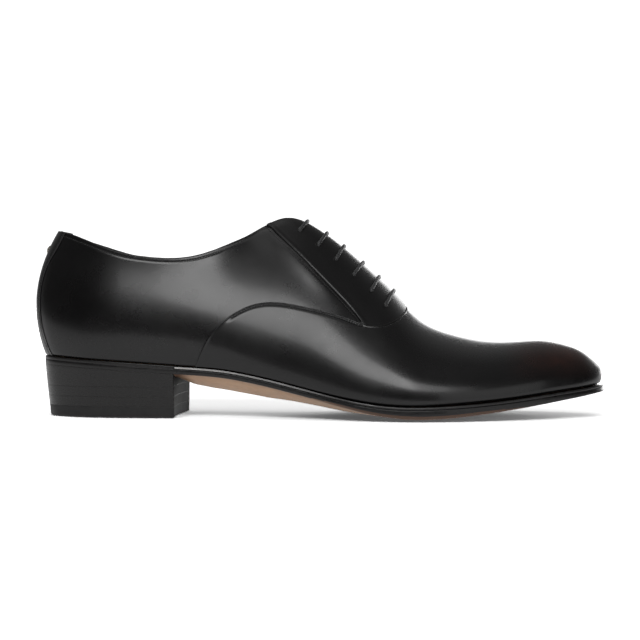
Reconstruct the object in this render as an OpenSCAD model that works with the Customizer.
// Plain-toe leather oxford shoe, right foot, closed lacing, stacked heel.
// +X points to the toe, +Y to the inner (medial) side, +Z up.
// The origin is the centre of the heel's ground face.

/* [Upper leather] */
// Thickness of the vamp, quarters and facings (mm)
upper_t = 1.0; // [0.8:0.1:1.0]
// Thickness of the calf lining (mm)
lining_t = 0.9; // [0.7:0.1:0.9]
// Thickness of the toe puff (mm)
puff_t = 1.0; // [0.8:0.1:1.0]
// Thickness of the heel counter (mm)
counter_t = 1.2; // [0.8:0.1:1.2]
// Gap between the two facings at the throat (mm)
throat_gap = 1.6; // [1.0:0.2:2.4]
// Radius of the topline piping (mm)
piping_r = 0.9; // [0.7:0.1:1.0]

/* [Sole] */
// Thickness of the welt (mm)
welt_t = 1.5; // [1.2:0.1:1.6]
// Thickness of the outsole at its edge (mm)
outsole_edge_t = 3.0; // [2.6:0.1:3.2]
// How far the outsole stands out from the upper at the forefoot (mm)
forefoot_margin = 2.4; // [1.6:0.2:3.0]
// Thickness of the insole (mm)
insole_t = 2.5; // [2.0:0.1:2.8]
// Width of the steel shank (mm)
shank_w = 13; // [10:1:16]

/* [Heel] */
// Height of the heel's ground lift (mm)
top_piece_h = 5.8; // [5.0:0.2:6.0]
// Height of each plain heel lift (mm)
lift_h = 5.4; // [5.0:0.2:5.4]
// X of the heel breast (mm)
breast_x = 37.0; // [34:0.5:38]
// How far the heel draws in from its seat to the ground (mm)
heel_taper = 3.0; // [1.0:0.2:3.2]
// Number of heel nails
nail_n = 9; // [5:1:11]

/* [Lacing] */
// Radius of the round waxed lace (mm)
lace_r = 0.8; // [0.6:0.1:0.8]
// Radius of a lace hole (mm)
hole_r = 1.15; // [1.1:0.05:1.2]
// Radius of a blind eyelet's flange (mm)
eyelet_r = 2.5; // [2.2:0.1:2.6]

/* [Flex] */
// X of the forefoot flex axis (mm)
flex_x = 176; // [174:1:178]
// Z of the forefoot flex axis (mm)
flex_z = 11.5; // [11:0.5:12]
// Largest toe lift that the split upper has room for (degrees)
flex_max = 25; // [10:5:25]

/* [Hidden] */

LATERAL = -1;
MEDIAL = 1;
BOTH = [LATERAL, MEDIAL];

function grey(level) = [level, level, level];
QUARTER_COLOUR = grey(0.08);
VAMP_COLOUR = grey(0.07);
LACE_COLOUR = grey(0.1);
THREAD_COLOUR = grey(0.15);
LIFT_COLOUR = [0.12, 0.11, 0.11];

// Columns of LAST
X = 0;            // station
CENTRE = 1;       // y of the centre at the feather line
HALF_W = 2;       // half width at the feather line
FEATHER = 3;      // z of the feather line
TOP_CENTRE = 4;   // y of the centre at the top edge
TOP_HALF_W = 5;   // half width there: the foot opening, 0 where it closes
TOP_Z = 6;        // z of the top edge
LOW_OUT = 7;      // outward reach of the lower handle
LOW_UP = 8;       // upward reach of the lower handle
HIGH_OUT = 9;     // outward reach of the upper handle
HIGH_DOWN = 10;   // downward reach of the upper handle
LOW_LEAN = 11;    // forward lean at the lower handle
HIGH_LEAN = 12;   // forward lean at the upper handle
TOP_LEAN = 13;    // forward lean at the top edge

// Lines plan of the last: one cross section a row, heel point to toe point
LAST = [
 [-36.9,  0.0,  0.0, 32.6, 0.0,  0.0, 100.2, 0.0, 25,  0.0,  20, -10.0, -5.3,  7.0],
 [-33.1,  0.0, 14.5, 32.5, 0.0, 10.0,  99.5, 0.6, 25,  0.6,  20,  -9.2, -4.6,  6.6],
 [-23.3,  0.0, 23.5, 32.0, 0.0, 17.5,  97.1, 1.8, 25,  1.4,  20,  -6.3, -2.6,  4.9],
 [ -9.0, -0.2, 29.5, 31.1, 0.0, 23.3,  92.8, 3.0, 25,  2.2,  20,  -2.8, -0.8,  2.3],
 [  8.0, -0.9, 31.3, 30.1, 0.0, 26.6,  88.0, 3.8, 24,  2.8,  20,  -0.6,  0.0,  0.6],
 [ 26.0, -1.7, 31.2, 28.9, 0.0, 27.2,  85.7, 4.2, 23,  3.2,  20,   0.0,  0.0,  0.0],
 [ 44.0, -2.8, 30.2, 27.8, 0.0, 25.0,  86.9, 4.6, 23,  4.5,  20,   0.0,  0.0,  0.0],
 [ 62.0, -4.0, 30.0, 26.4, 0.0, 19.6,  93.0, 4.8, 24,  6.5,  18,   0.0,  0.0,  0.0],
 [ 79.0, -5.0, 31.2, 23.6, 0.0, 11.0, 100.8, 4.6, 26,  9.0,  11,   0.0,  0.0,  0.0],
 [ 95.0, -5.6, 33.6, 20.1, 0.0,  2.2, 107.4, 4.2, 28, 12.5,   3,   0.0,  0.0,  0.0],
 [110.0, -5.7, 36.8, 16.4, 0.0,  0.4, 102.4, 3.8, 28, 15.5,   0,   0.0,  0.0,  0.0],
 [125.0, -5.2, 41.0, 12.8, 0.2,  0.4,  91.8, 3.4, 26, 18.0,   0,   0.0,  0.0,  0.0],
 [140.0, -4.4, 45.0,  9.9, 0.6,  0.4,  78.8, 3.2, 22, 20.5,   0,   0.0,  0.0,  0.0],
 [155.0, -3.3, 47.8,  8.3, 1.0,  0.3,  64.8, 3.0, 18, 22.5,   0,   0.0,  0.0,  0.0],
 [170.0, -2.0, 49.1,  8.0, 1.6,  0.0,  50.6, 2.8, 15, 24.5,   0,   0.0,  0.0,  0.0],
 [186.0, -0.6, 48.4,  8.7, 2.2,  0.0,  44.1, 2.6, 13, 26.0,   0,   0.0,  0.0,  0.0],
 [202.0,  0.8, 45.2,  9.9, 2.7,  0.0,  40.9, 2.4, 12, 26.0,   0,   0.0,  0.0,  0.0],
 [218.0,  2.0, 39.8, 11.5, 3.0,  0.0,  40.4, 2.2, 12, 23.5,   0,   0.0,  0.0,  0.0],
 [233.0,  2.8, 33.0, 13.4, 3.2,  0.0,  40.8, 2.0, 11, 19.5,   0,   0.2,  0.0,  0.0],
 [246.0,  3.2, 25.3, 15.1, 3.3,  0.0,  38.4, 1.6, 10, 14.5,   0,   0.5,  0.2,  0.0],
 [257.0,  3.4, 16.8, 16.5, 3.4,  0.0,  33.7, 1.0,  8,  9.0,   0,   0.9,  0.4, -0.2],
 [264.9,  3.4,  0.0, 17.6, 3.4,  0.0,  27.4, 0.0,  5,  0.0, 0.8,   1.2,  0.9, -0.8]];
// -1 for columns that change sign when mirrored through the heel or toe point
MIRROR = [1, 1, -1, 1, 1, -1, 1, -1, 1, -1, 1, 1, 1, 1];

// Seam lines on the side of the shoe: x, z
VAMP_SEAM = [[46,20], [48.9,28], [52,36], [55.3,43], [61.7,49.8], [68.1,55.1],
  [74.6,58.7], [81.8,61.1], [89.8,61.9], [98.7,60.6], [109.9,58], [119.6,55.9],
  [127.6,53.9], [138.1,50.6], [143.7,49.6], [151.7,50.6], [156.5,53.2],
  [159.5,56.2], [161,70]];
FACING_SEAM = [[84.5,104.5], [86,101.3], [98.7,90.9], [114.8,75.2], [127.6,63.1],
  [134.9,55.4], [141,49]];
// From here forward the two sides of the vamp meet on the ridge
VAMP_RIDGE_X = 160.4;

// Lacing from the opening to the throat: hole x, hole z, x of the crossing on the ridge
LACE_ROWS = [[102.8,100.3,105.9], [113.1,92.6,116.4], [122.7,84.9,125.6],
  [132.4,76.6,136.0], [141.8,68.0,144.6], [149.6,60.2,152.6]];

// Extra depth of the outsole's crowned underside at its centre: x, depth
CROWN = [[20,0], [32,1.0], [38,3.4], [46,6.4], [56,7.6], [70,8.1], [86,7.8],
  [100,6.3], [114,5.3], [130,4.3], [146,2.1], [158,1.0], [172,0.8], [186,0.8],
  [205,0.8], [266,0.5]];
// Thickness of the outsole's edge: x, share of outsole_edge_t
EDGE = [[-38,0.87], [90,0.9], [115,0.9], [130,1.0], [146,1.33], [160,1.6],
  [172,1.68], [186,1.62], [202,1.43], [218,1.24], [233,1.1], [247,0.93],
  [257,0.8], [266,0.7]];
// How far the outsole stands out from the feather line: x, margin.
// Past FORE_MARGIN_X it is multiplied by FORE_MARGIN.
MARGIN = [[-38,0.9], [20,0.6], [36,0.3], [60,0.1], [90,0.3], [120,1.3], [150,1],
  [170,1], [230,1], [266,1.15]];
FORE_MARGIN_X = 110;
FORE_MARGIN = [[110,0.5], [135,forefoot_margin*0.8], [160,forefoot_margin],
  [235,forefoot_margin], [266,1.7]];

// ---- Surface of the last
// A station is a row number of LAST, with fractions between rows. A rise is 0
// at the feather line and 1 at the top edge.
U_TOE = len(LAST)-1;
FIT_ROUNDS = 16;
STEP = 0.004;  // station or rise step for slopes

function clamp(value, low, high) = min(high, max(low, value));
function unit(v) = v/norm(v);
function reversed(list) = [for (i = [len(list)-1:-1:0]) list[i]];

// Uniform cubic B-spline whose control rows are fitted to pass through LAST
function mirrored(row) = [for (i = [0:len(row)-1]) row[i]*MIRROR[i]];
function control(rows, i) = i < 0 ? mirrored(rows[-i])
  : i > U_TOE ? mirrored(rows[2*U_TOE-i]) : rows[i];
function pin_ends(i, row) = (i == 0 || i == U_TOE)
  ? [for (k = [0:len(row)-1]) MIRROR[k] < 0 ? 0 : row[k]] : row;
function fit_rows(rows, rounds) = rounds == 0 ? rows
  : fit_rows([for (i = [0:U_TOE]) pin_ends(i, rows[i] + LAST[i]
      - (control(rows, i-1) + 4*rows[i] + control(rows, i+1))/6)], rounds-1);
CONTROLS = fit_rows(LAST, FIT_ROUNDS);

// Cross section at a station, with the columns of LAST
function section(station) = let (i = clamp(floor(station), -1, U_TOE), t = station-i)
  (pow(1-t, 3)*control(CONTROLS, i-1)
   + (3*t*t*t - 6*t*t + 4)*control(CONTROLS, i)
   + (-3*t*t*t + 3*t*t + 3*t + 1)*control(CONTROLS, i+1)
   + t*t*t*control(CONTROLS, i+2))/6;
function x_of(station) = section(station)[X];

function bezier(a, b, c, d, t) = pow(1-t, 3)*a + 3*pow(1-t, 2)*t*b
  + 3*(1-t)*t*t*c + pow(t, 3)*d;
function section_point(sec, side, rise) = bezier(
  [sec[X], sec[CENTRE] + side*sec[HALF_W], sec[FEATHER]],
  [sec[X] + sec[LOW_LEAN], sec[CENTRE] + side*(sec[HALF_W]+sec[LOW_OUT]),
   sec[FEATHER] + sec[LOW_UP]],
  [sec[X] + sec[HIGH_LEAN], sec[TOP_CENTRE] + side*(sec[TOP_HALF_W]+sec[HIGH_OUT]),
   sec[TOP_Z] - sec[HIGH_DOWN]],
  [sec[X] + sec[TOP_LEAN], sec[TOP_CENTRE] + side*sec[TOP_HALF_W], sec[TOP_Z]], rise);
function surface_point(station, side, rise) = section_point(section(station), side, rise);
function normal(station, side, rise) = let (
    mid = clamp(rise, STEP, 1-STEP),
    along = surface_point(station+STEP, side, mid) - surface_point(station-STEP, side, mid),
    sec = section(station),
    up = section_point(sec, side, mid+STEP) - section_point(sec, side, mid-STEP))
  unit(cross(along, up))*(-side);
// Surface point moved outwards along the normal
function skin(station, side, rise, offset) =
  surface_point(station, side, rise) + offset*normal(station, side, rise);

// Inverse look-ups by bisection
function at_x(x, low=0, high=U_TOE, rounds=22) = rounds == 0 ? (low+high)/2
  : let (mid = (low+high)/2)
    x_of(mid) < x ? at_x(x, mid, high, rounds-1) : at_x(x, low, mid, rounds-1);
function section_z(sec, rise) = bezier(sec[FEATHER], sec[FEATHER]+sec[LOW_UP],
  sec[TOP_Z]-sec[HIGH_DOWN], sec[TOP_Z], rise);
function rise_at_z(sec, z, low=0, high=1, rounds=20) = rounds == 0 ? (low+high)/2
  : let (mid = (low+high)/2) section_z(sec, mid) < z
    ? rise_at_z(sec, z, mid, high, rounds-1) : rise_at_z(sec, z, low, mid, rounds-1);
// Rise on the upper part of the section where it is y away from its centre
function rise_at_y(sec, side, y, low=0.45, high=1, rounds=20) =
  rounds == 0 ? (low+high)/2
  : let (mid = (low+high)/2, reach = side*(section_point(sec, side, mid)[1] - sec[TOP_CENTRE]))
    reach > y ? rise_at_y(sec, side, y, mid, high, rounds-1)
    : rise_at_y(sec, side, y, low, mid, rounds-1);

// ---- Lists of stations
function span(first, last, steps) = [for (i = [0:steps]) first + (last-first)*i/steps];
function same(stations, value) = [for (station = stations) value];
function part_of(stations, low, high) =
  [for (station = stations) if (station >= low && station <= high) station];

U_FLEX = at_x(flex_x);
U_BREAST = at_x(breast_x);
FLEX_SLIT = 0.01;  // half the slit at the flex axis, in stations
REAR_END = U_FLEX-FLEX_SLIT;
SOLE_REAR = concat([0, 0.25, 0.6, 1.0, 1.5, 2.1], span(2.8, REAR_END, 17));
SOLE_FORE = concat(span(U_FLEX+FLEX_SLIT, U_TOE-1.2, 6),
  [U_TOE-0.8, U_TOE-0.5, U_TOE-0.25, U_TOE-0.08, U_TOE]);
// Shared by the layers of the upper, so that they nest
BACK_U = 0.02;
UPPER = concat([BACK_U, 0.3, 0.6, 0.95, 1.35, 1.8, 2.3, 2.85], span(3.4, 13.5, 18));
function between(first, last) = concat([first],
  [for (station = UPPER) if (station > first+0.05 && station < last-0.05) station], [last]);

// ---- Closed solids from grids of points
// Two triangles, less any that has collapsed
function quad(a, b, c, d) = concat(
  (a != b && b != c && a != c) ? [[a,b,c]] : [],
  (a != c && c != d && a != d) ? [[a,c,d]] : []);

// Leather sheet over one or both sides, between the outer and inner offsets
// from the last. cells[i][j] is [station, rise]. The sides share points at the
// first or last station if joined there, and on the ridge from ridge_x forward.
module sheet(sides, cells, outer, inner, join_back=false, join_front=false, ridge_x=1000) {
  nu = len(cells)-1;
  nh = len(cells[0])-1;
  side_size = (nu+1)*(nh+1);
  on_ridge = [for (line = cells) x_of(line[0][0]) >= ridge_x];
  function id(q, i, j, layer) = layer*len(sides)*side_size + i*(nh+1) + j
    + ((q == 1 && !((join_back && i == 0) || (join_front && i == nu)
        || (on_ridge[i] && j == nh))) ? side_size : 0);
  pairs = [for (side = sides) for (line = cells) for (cell = line) let (
    base = surface_point(cell[0], side, cell[1]),
    out = normal(cell[0], side, cell[1])) [base+outer*out, base+inner*out]];
  function side_faces(q) = concat(
    [for (i = [0:nu-1]) for (j = [0:nh-1]) each concat(
      quad(id(q,i,j,0), id(q,i,j+1,0), id(q,i+1,j+1,0), id(q,i+1,j,0)),
      quad(id(q,i,j,1), id(q,i+1,j,1), id(q,i+1,j+1,1), id(q,i,j+1,1)))],
    join_back ? [] : [for (j = [0:nh-1])
      each quad(id(q,0,j+1,0), id(q,0,j,0), id(q,0,j,1), id(q,0,j+1,1))],
    join_front ? [] : [for (j = [0:nh-1])
      each quad(id(q,nu,j,0), id(q,nu,j+1,0), id(q,nu,j+1,1), id(q,nu,j,1))],
    [for (i = [0:nu-1])
      each quad(id(q,i,0,0), id(q,i+1,0,0), id(q,i+1,0,1), id(q,i,0,1))],
    [for (i = [0:nu-1]) if (!(on_ridge[i] && on_ridge[i+1]))
      each quad(id(q,i+1,nh,0), id(q,i,nh,0), id(q,i,nh,1), id(q,i+1,nh,1))]);
  polyhedron([for (layer = [0, 1]) for (pair = pairs) pair[layer]],
    [for (q = [0:len(sides)-1]) for (face = side_faces(q))
      sides[q] == MEDIAL ? reversed(face) : face], convexity=8);
}

// Solid between rings of points, with flat ends
module loft(rings) {
  n = len(rings)-1;
  m = len(rings[0]);
  function id(i, k) = i*m + (k % m);
  faces = concat(
    [for (i = [0:n-1]) for (k = [0:m-1])
      each quad(id(i,k), id(i+1,k), id(i+1,k+1), id(i,k+1))],
    [for (k = [1:m-2]) [id(0,0), id(0,k), id(0,k+1)]],
    [for (k = [1:m-2]) [id(n,0), id(n,k+1), id(n,k)]]);
  polyhedron([for (ring = rings) each ring], faces, convexity=6);
}

// Round cord along a path
function tangent(path, i) = unit(path[min(len(path)-1, i+1)] - path[max(0, i-1)]);
module cord(path, radius, corners) {
  loft([for (i = [0:len(path)-1]) let (
      ahead = tangent(path, i),
      across = unit(cross(abs(ahead[2]) < 0.8 ? [0,0,1] : [1,0,0], ahead)),
      up = cross(ahead, across))
    [for (k = [0:corners-1]) let (angle = 360*k/corners)
      path[i] + radius*(cos(angle)*across + sin(angle)*up)]]);
}

// Places children on the last, with their Z along its normal
module on_skin(station, side, rise, lift) {
  out = normal(station, side, rise);
  translate(surface_point(station, side, rise))
    rotate([0, acos(out[2]), atan2(out[1], out[0])])
      translate([0, 0, lift]) children();
}

// ---- Sole
// Offsets from the feather line
WELT_TOP = -0.6;
WELT_BOTTOM = -0.5-welt_t;
OUTSOLE_TOP = -0.6-welt_t;
INSOLE_BOTTOM = -0.5;
CORK_INSET = -8.2;

// Point [x, y] that stands out from the feather line by the margin
function plan(station, side, margin) = let (
    sec = section(station), next = section(station+STEP), prev = section(station-STEP),
    along = [next[X]-prev[X],
      (next[CENTRE]+side*next[HALF_W]) - (prev[CENTRE]+side*prev[HALF_W])])
  [sec[X], sec[CENTRE]+side*sec[HALF_W]] + margin*side*[-along[1], along[0]]/norm(along);
// Height of the feather line, carried on past the toe and heel points
TOE_LIMIT_X = 264.4;
HEEL_LIMIT_X = -36.6;
TOE_SLOPE = 0.19;
function feather_z(x) =
  x > TOE_LIMIT_X ? section(at_x(TOE_LIMIT_X))[FEATHER] + TOE_SLOPE*(x-TOE_LIMIT_X)
  : x < HEEL_LIMIT_X ? LAST[0][FEATHER] : section(at_x(x))[FEATHER];

// Plate following the feather line. margins, tops, bottoms and crowns (extra
// depth on the centre) hold a value for each station. A pointed end closes to
// a single point.
module plate(stations, margins, tops, bottoms, crowns, cuts, point_back, point_front) {
  nu = len(stations)-1;
  pairs = [for (i = [0:nu]) let (
      left = plan(stations[i], LATERAL, margins[i]),
      right = plan(stations[i], MEDIAL, margins[i]))
    for (k = [0:cuts]) let (t = k/cuts, bulge = 1-pow(2*t-1, 2),
        spot = left*(1-t) + right*t, z = feather_z(spot[0]))
      [[spot[0], spot[1], z+tops[i]],
       [spot[0], spot[1], z+bottoms[i]-crowns[i]*bulge]]];
  function id(i, k, layer) = layer*(nu+1)*(cuts+1) + i*(cuts+1)
    + (((point_back && i == 0) || (point_front && i == nu)) ? 0 : k);
  faces = concat(
    [for (i = [0:nu-1]) for (k = [0:cuts-1]) each concat(
      quad(id(i,k,0), id(i,k+1,0), id(i+1,k+1,0), id(i+1,k,0)),
      quad(id(i,k,1), id(i+1,k,1), id(i+1,k+1,1), id(i,k+1,1)))],
    [for (i = [0:nu-1]) each concat(
      quad(id(i,0,0), id(i+1,0,0), id(i+1,0,1), id(i,0,1)),
      quad(id(i+1,cuts,0), id(i,cuts,0), id(i,cuts,1), id(i+1,cuts,1)))],
    point_back ? [] : [for (k = [0:cuts-1])
      each quad(id(0,k+1,0), id(0,k,0), id(0,k,1), id(0,k+1,1))],
    point_front ? [] : [for (k = [0:cuts-1])
      each quad(id(nu,k,0), id(nu,k+1,0), id(nu,k+1,1), id(nu,k,1))]);
  polyhedron([for (layer = [0, 1]) for (pair = pairs) pair[layer]], faces, convexity=6);
}
module slab(stations, margin, top, bottom, point_back, point_front)
  plate(stations, same(stations, margin), same(stations, top), same(stations, bottom),
    same(stations, 0), 2, point_back, point_front);

function sole_margin(station) = let (x = x_of(station), base = lookup(x, MARGIN))
  x > FORE_MARGIN_X ? base*lookup(x, FORE_MARGIN) : base;
function crown(station) = lookup(x_of(station), CROWN);
function outsole_bottom(station) =
  OUTSOLE_TOP - outsole_edge_t*lookup(x_of(station), EDGE);
module outsole(stations, point_back, point_front)
  plate(stations, [for (station = stations) sole_margin(station)],
    same(stations, OUTSOLE_TOP), [for (station = stations) outsole_bottom(station)],
    [for (station = stations) crown(station)], 8, point_back, point_front);
module outsole_rear() color("tan") outsole(SOLE_REAR, true, false);
module outsole_forepart() color("tan") outsole(SOLE_FORE, false, true);

module insole(stations, point_back, point_front)
  slab(stations, -4.2, INSOLE_BOTTOM+insole_t, INSOLE_BOTTOM, point_back, point_front);
module insole_rear() color("wheat") insole(SOLE_REAR, true, false);
module insole_forepart() color("wheat") insole(SOLE_FORE, false, true);
module heel_sock() color("black")
  slab(part_of(SOLE_REAR, 0, at_x(66)), -4.6, 0.6+insole_t, -0.4+insole_t, true, false);

module cork(stations) slab(stations, CORK_INSET, -0.7, -0.4-welt_t, false, false);
module cork_filler_rear() color("peru") cork(part_of(SOLE_REAR, at_x(112), U_TOE));
module cork_filler_forepart() color("peru") cork(part_of(SOLE_FORE, 0, U_TOE-0.5));

module steel_shank() color("silver") {
  top = -0.75;
  bottom = -welt_t-0.35;
  loft([for (station = span(at_x(-2), at_x(106), 12)) let (sec = section(station))
    [for (corner = [[-1, top], [-1, bottom], [1, bottom], [1, top]])
      [sec[X], sec[CENTRE] + corner[0]*shank_w/2, sec[FEATHER] + corner[1]]]]);
}

// Cross section of the welt between its outer and inner margins
function welt_ring(station, side, outer, inner=-7.6) = let (
    out = plan(station, side, outer), in = plan(station, side, inner),
    out_z = feather_z(out[0]), in_z = feather_z(in[0]))
  [[out[0], out[1], out_z+WELT_TOP], [out[0], out[1], out_z+WELT_BOTTOM],
   [in[0], in[1], in_z+WELT_BOTTOM], [in[0], in[1], in_z+WELT_TOP]];
function welt_rings(stations, side) =
  [for (station = stations) welt_ring(station, side, sole_margin(station)-0.1)];
module welt_rear() color("black") {
  stations = concat([U_BREAST+0.1], part_of(SOLE_REAR, U_BREAST+0.2, U_TOE));
  for (side = BOTH)
    loft(welt_rings(side == LATERAL ? stations : reversed(stations), side));
}
module welt_forepart() color("black") {
  stations = part_of(SOLE_FORE, 0, U_TOE-0.07);
  loft(concat(welt_rings(stations, LATERAL), welt_rings(reversed(stations), MEDIAL)));
}

// ---- Heel
HEEL_STEPS = 20;     // outline steps on each side
HEEL_SEAT_Z = 27;    // the taper ends here
HEEL_MARGIN = 1.0;   // margin at the seat
BREAST_HOLLOW = 1.6;
LIFT_GAP = 0.05;
BASE_LIFT_TOP = 34;  // before the outsole's shape is cut out of it

module heel_rand() color([0.1, 0.09, 0.09]) {
  stations = concat([0.06], part_of(SOLE_REAR, 0.2, U_BREAST-0.1), [U_BREAST-0.08]);
  loft(concat(
    [for (station = reversed(stations)) welt_ring(station, LATERAL, 0.5, -7)],
    [for (station = stations) welt_ring(station, MEDIAL, 0.5, -7)]));
}
function heel_margin(z) = HEEL_MARGIN - heel_taper*(1 - clamp(z, 0, HEEL_SEAT_Z)/HEEL_SEAT_Z);
function heel_side(i, side, margin) =
  let (spot = plan(U_BREAST*i/HEEL_STEPS, side, margin))
  [i == HEEL_STEPS ? breast_x : spot[0], spot[1]];
function heel_outline(margin) = concat(
  [for (i = [HEEL_STEPS:-1:0]) heel_side(i, LATERAL, margin)],
  [for (i = [1:HEEL_STEPS]) heel_side(i, MEDIAL, margin)],
  [for (y = [18:-9:-18]) [breast_x - BREAST_HOLLOW*(1 - pow(y/30, 2)), y]]);
module heel_slab(bottom, top)
  loft([for (z = [top, bottom])
    [for (spot = heel_outline(heel_margin(z))) [spot[0], spot[1], z]]]);
module heel_top_piece() color(grey(0.1))
  linear_extrude(top_piece_h) polygon(heel_outline(heel_margin(2.5)));
module heel_lift_lower() color(LIFT_COLOUR)
  heel_slab(top_piece_h+LIFT_GAP, top_piece_h+lift_h);
module heel_lift_upper() color(LIFT_COLOUR)
  heel_slab(top_piece_h+lift_h+LIFT_GAP, top_piece_h+2*lift_h);
module heel_base_lift() color(LIFT_COLOUR) difference() {
  stations = part_of(SOLE_REAR, 0, U_BREAST+0.8);
  heel_slab(top_piece_h+2*lift_h+LIFT_GAP, BASE_LIFT_TOP);
  // Room for the outsole, just clear of its underside
  plate(stations, same(stations, 4), same(stations, 9),
    [for (station = stations) outsole_bottom(station)-0.12],
    [for (station = stations) crown(station)*1.3+0.06], 8, true, false);
}
// Nails on an arc around the back of the heel, open towards the breast
NAIL_START = 62;
module heel_nails() color("goldenrod") for (i = [0:nail_n-1]) {
  angle = NAIL_START + (360-2*NAIL_START)*i/(nail_n-1);
  translate([1 + 23.5*cos(angle), 22.5*sin(angle), 0.4]) cylinder(h=15, r=0.7, $fn=24);
}
// Domed head on a pin: radius, height
STUD_PROFILE = [[0,-3.4], [0.6,-3.4], [0.6,0], [2.1,0], [2.1,0.35], [1.8,0.75],
  [1.2,1.02], [0.6,1.15], [0,1.2]];
module heel_stud() color("gold")
  on_skin(0, LATERAL, 0.86, 1.15) rotate_extrude($fn=48) polygon(STUD_PROFILE);

// ---- Upper
TOPLINE_RISE = 0.972;
VAMP_INNER = 0.2;     // offset of the vamp's inner face
LINING_OUTER = -2.8;  // offset of the lining's outer face

// Cells between the rises low[i] and high[i], closer together towards the top
function fill(stations, low, high, rows) =
  [for (i = [0:len(stations)-1]) [for (j = [0:rows])
    [stations[i], low[i] + (high[i]-low[i])*(1-pow(1-j/rows, 1.35))]]];
// Rise at which a side stops short of the ridge for half the throat gap
function gap_rise(station) = let (sec = section(station), half = throat_gap/2)
  sec[TOP_HALF_W] > half ? 1
  : 1 - (half-sec[TOP_HALF_W])/max(6, 3*sec[HIGH_OUT]);
function top_rise(station) = let (x = x_of(station))
  x < 95 ? TOPLINE_RISE
  : min(gap_rise(station), lookup(x, [[95, TOPLINE_RISE], [102, 1]]));
function vamp_high(station) = let (sec = section(station), z = lookup(sec[X], VAMP_SEAM))
  (sec[X] >= VAMP_RIDGE_X || z >= section_z(sec, 1)) ? 1
  : max(0.004, rise_at_z(sec, z));
// The quarter runs on 7 mm under the vamp seam
function quarter_low(station) = let (sec = section(station), z = lookup(sec[X], VAMP_SEAM)-7)
  (sec[X] < 50 || z <= sec[FEATHER]) ? 0 : rise_at_z(sec, z);
function quarter_high(station) = let (sec = section(station))
  sec[X] < FACING_SEAM[0][0] ? TOPLINE_RISE
  : min(TOPLINE_RISE, rise_at_z(sec, lookup(sec[X], FACING_SEAM)));
module quarter(side) {
  stations = between(BACK_U, at_x(139.5));
  sheet([side], fill(stations, [for (station = stations) quarter_low(station)],
    [for (station = stations) quarter_high(station)], 9), 0, -upper_t);
}
module quarter_lateral() color(QUARTER_COLOUR) quarter(LATERAL);
module quarter_medial() color(QUARTER_COLOUR) quarter(MEDIAL);

// Lace holes as [station, rise]
HOLES = [for (lace = LACE_ROWS) let (station = at_x(lace[0]))
  [station, rise_at_z(section(station), lace[1])]];
// Cylinder through a lace hole between two offsets from the last
module hole_rod(side, hole, low, high, radius)
  on_skin(hole[0], side, hole[1], low) cylinder(h=high-low, r=radius, $fn=32);

// The facing reaches 5 mm below its seam
function facing_low(station) = let (sec = section(station))
  rise_at_z(sec, sec[X] < 137 ? lookup(sec[X], FACING_SEAM)-5 : 44.5);
module facing(side) difference() {
  stations = between(at_x(88), at_x(161));
  sheet([side], fill(stations,
    [for (station = stations) min(0.9, facing_low(station))],
    [for (station = stations) top_rise(station)], 6), -upper_t-0.2, -2*upper_t-0.1);
  for (hole = HOLES) hole_rod(side, hole, -5, 3, hole_r);
}
module facing_lateral() color(QUARTER_COLOUR) facing(LATERAL);
module facing_medial() color(QUARTER_COLOUR) facing(MEDIAL);

// The forepart of the upper starts on a plane leaning forward from the flex axis
function fore_start(rise, shift) = let (z = section_z(section(at_x(184)), rise))
  at_x(flex_x + 1.3 + max(0, z+2-flex_z)*tan(flex_max+1.5) + shift);
function fore_cells(steps, rows) = [for (i = [0:steps]) [for (j = [0:rows])
  let (rise = j/rows, start = fore_start(rise, 0))
  [start + (U_TOE-start)*(1-pow(1-i/steps, 1.25)), rise]]];
// The crease zone between rear and forepart folds as the toe lifts
function crease_cells(rows) = [for (i = [0:2]) [for (j = [0:rows])
  let (rise = j/rows) [U_FLEX + (fore_start(rise, -0.2)-U_FLEX)*i/2, rise]]];

module vamp(cells, ridge_x=0, join_front=false)
  sheet(BOTH, cells, VAMP_INNER+upper_t, VAMP_INNER, false, join_front, ridge_x);
module vamp_rear() color(VAMP_COLOUR) {
  stations = concat(between(at_x(50), at_x(141)),
    [for (x = [144.5, 148.5, 152, 155, 157.5, 159.3, 160.5, 168]) at_x(x)], [REAR_END]);
  vamp(fill(stations, same(stations, 0),
    [for (station = stations) vamp_high(station)], 9), VAMP_RIDGE_X);
}
module vamp_forepart() color(VAMP_COLOUR) vamp(fore_cells(12, 10), join_front=true);
module vamp_crease() color(VAMP_COLOUR) vamp(crease_cells(10));

module vamp_lining(cells, join_front=false)
  sheet(BOTH, cells, LINING_OUTER, LINING_OUTER-lining_t, false, join_front, 0);
module vamp_lining_crease() color("saddlebrown") vamp_lining(crease_cells(8));
module vamp_lining_forepart() color("saddlebrown")
  vamp_lining(fore_cells(10, 8), join_front=true);
module vamp_lining_rear() color("saddlebrown") {
  stations = [at_x(163.4), at_x(168), REAR_END];
  vamp_lining(fill(stations, same(stations, 0), same(stations, 1), 8));
}
module quarter_lining(side) difference() {
  stations = between(BACK_U, at_x(163));
  sheet([side], fill(stations, same(stations, 0),
    [for (station = stations) top_rise(station)], 10),
    LINING_OUTER, LINING_OUTER-lining_t);
  for (hole = HOLES) hole_rod(side, hole, -6, 3, hole_r);
}
module quarter_lining_lateral() color("saddlebrown") quarter_lining(LATERAL);
module quarter_lining_medial() color("saddlebrown") quarter_lining(MEDIAL);

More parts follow.
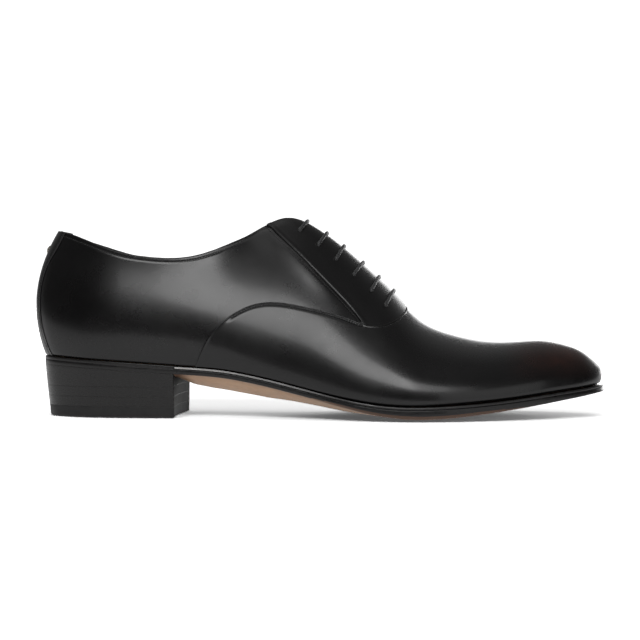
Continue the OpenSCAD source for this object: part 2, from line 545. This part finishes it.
module toe_puff() color("ivory") {
  stations = concat(span(at_x(226), U_TOE-0.6, 5), [U_TOE-0.3, U_TOE-0.1, U_TOE]);
  sheet(BOTH, fill(stations, same(stations, 0.02), same(stations, 1), 8),
    -0.35, -0.35-puff_t, join_front=true, ridge_x=0);
}
COUNTER_TOP = [[-36,0.62], [20,0.55], [46,0.36]];  // x, rise
module heel_counter() color("ivory") {
  stations = concat([0], part_of(UPPER, 0.1, at_x(44)), [at_x(46)]);
  outer = -upper_t-0.25;
  sheet(BOTH, fill(stations, same(stations, 0.02),
    [for (station = stations) lookup(x_of(station), COUNTER_TOP)], 7),
    outer, outer-counter_t, join_back=true);
}
// Station of the back strip's edge, which flares to the foot and the top
function strip_edge(rise) = 0.50 + 0.62*pow(1-rise, 2.2) + 0.38*pow(rise, 2.4);
module back_strip() color(VAMP_COLOUR) {
  low = 0.004;
  steps = 3;
  rows = 12;
  sheet(BOTH, [for (i = [0:steps]) [for (j = [0:rows])
    let (rise = low + (TOPLINE_RISE-low)*j/rows) [strip_edge(rise)*i/steps, rise]]],
    1.0, 0.2, join_back=true);
}
module topline_piping() color(grey(0.05)) {
  stations = concat([0], part_of(UPPER, 0.1, at_x(84)), [at_x(87)]);
  offset = -1.9;
  cord(concat(
    [for (station = reversed(stations)) skin(station, LATERAL, 1, offset)],
    [for (station = stations) if (station > 0) skin(station, MEDIAL, 1, offset)]),
    piping_r, 8);
}

// ---- Tongue, eyelets and lace
UNDERRUN_OFFSET = -5.1;
module tongue() color(grey(0.09)) {
  stations = span(at_x(98.5), at_x(150), 8);
  low = [for (station = stations) lookup(x_of(station), [[98,0.66], [150,0.70]])];
  sheet(BOTH, fill(stations, low, same(stations, 1), 5), -6.4, -7.9, ridge_x=0);
}
module blind_eyelets() color("silver") for (side = BOTH) for (hole = HOLES)
  difference() {
    hole_rod(side, hole, -2.6, -2.25, eyelet_r);
    hole_rod(side, hole, -3, -2, hole_r+0.05);
  }

// Point over the facings, y off the centre
function over(x, side, y, offset) = let (station = at_x(x))
  skin(station, side, rise_at_y(section(station), side, y), offset);
// Half of a lace bar: up through the hole, then over the facing to the crossing
function half_bar(i, side) = let (
    station = HOLES[i][0], rise = HOLES[i][1],
    hole_x = LACE_ROWS[i][0], cross_x = LACE_ROWS[i][2],
    reach = abs(surface_point(station, LATERAL, rise)[1] - section(station)[TOP_CENTRE]),
    lift = lace_r-upper_t+0.5) concat(
  [for (offset = [-4.1, -2.4, -0.9]) skin(station, side, rise, offset)],
  [for (t = [0.86, 0.66, 0.44, 0.22])
    over(hole_x + (cross_x-hole_x)*(1-t*t), side, reach*t, lift)],
  [over(cross_x, side, 0.9, lift+0.05)]);
module lace_bars() color(LACE_COLOUR) for (i = [0:len(HOLES)-1])
  cord(concat(half_bar(i, LATERAL), reversed(half_bar(i, MEDIAL))), lace_r, 6);

// Lace runs behind the facings: side, from hole, to hole, sideways bow in rise
UNDERRUNS = [[LATERAL,5,4,0], [LATERAL,3,1,0.07], [LATERAL,2,0,-0.07],
  [MEDIAL,5,3,0.07], [MEDIAL,4,2,-0.07]];
function underrun(run) = let (from = HOLES[run[1]], to = HOLES[run[2]])
  [for (t = [0.1, 0.3, 0.5, 0.7, 0.9]) let (spot = from + (to-from)*t)
    skin(spot[0], run[0], spot[1] + run[3]*(1-pow(2*t-1, 2)), UNDERRUN_OFFSET)];
// Loose lace end from hole 0 or 1, running back inside the medial quarter
function tail(k) = let (from = HOLES[k][0], rise = HOLES[k][1], end = at_x(78-9*k))
  [for (t = [0.09:0.13:1]) skin(from + (end-from)*t, MEDIAL,
    rise - (0.42-0.04*k)*t - 0.05*k*sin(180*t), UNDERRUN_OFFSET)];
module lace_underruns() color(LACE_COLOUR) {
  for (run = UNDERRUNS) cord(underrun(run), lace_r, 6);
  for (k = [0:1]) cord(tail(k), lace_r, 6);
}
module aglets() color(THREAD_COLOUR) for (k = [0:1]) {
  path = tail(k);
  n = len(path)-1;
  ahead = unit(path[n]-path[n-1]);
  hang = unit([-0.3, -0.34, -1]);
  start = path[n] + 0.9*ahead;
  bend = start + 4*unit(ahead+hang);
  cord([start, bend, bend + 11*hang], 1.0, 8);
}

// ---- Seam threads
module thread(path) cord(path, 0.2, 5);
module vamp_seam_thread() color(THREAD_COLOUR) for (side = BOTH)
  thread([for (station = span(at_x(68), at_x(155), 24))
    skin(station, side, max(0.01, vamp_high(station)-0.03), 1.3+upper_t*0.3)]);
module facing_seam_thread() color(THREAD_COLOUR) for (side = BOTH)
  thread([for (station = span(at_x(88), at_x(133), 14))
    skin(station, side, quarter_high(station)-0.035, 0.28)]);
module topline_thread() color(THREAD_COLOUR) for (side = BOTH)
  thread([for (station = span(at_x(-18), at_x(84), 22)) skin(station, side, 0.93, 0.34)]);
module bar_tacks() color(grey(0.2)) for (side = BOTH) {
  station = at_x(138.2);
  rise = rise_at_z(section(station), 50.9);
  cord([for (k = [-1:1]) skin(station+0.02*k, side, rise+0.02*k, 1.45)], 0.3, 5);
}

outsole_rear();
outsole_forepart();
welt_rear();
welt_forepart();
cork_filler_rear();
cork_filler_forepart();
steel_shank();
insole_rear();
insole_forepart();
heel_sock();
heel_rand();
heel_base_lift();
heel_lift_upper();
heel_lift_lower();
heel_top_piece();
heel_nails();
vamp_rear();
vamp_forepart();
quarter_lateral();
quarter_medial();
facing_lateral();
facing_medial();
vamp_crease();
back_strip();
topline_piping();
quarter_lining_lateral();
quarter_lining_medial();
vamp_lining_rear();
vamp_lining_crease();
vamp_lining_forepart();
toe_puff();
heel_counter();
tongue();
blind_eyelets();
lace_bars();
lace_underruns();
aglets();
heel_stud();
vamp_seam_thread();
facing_seam_thread();
topline_thread();
bar_tacks();
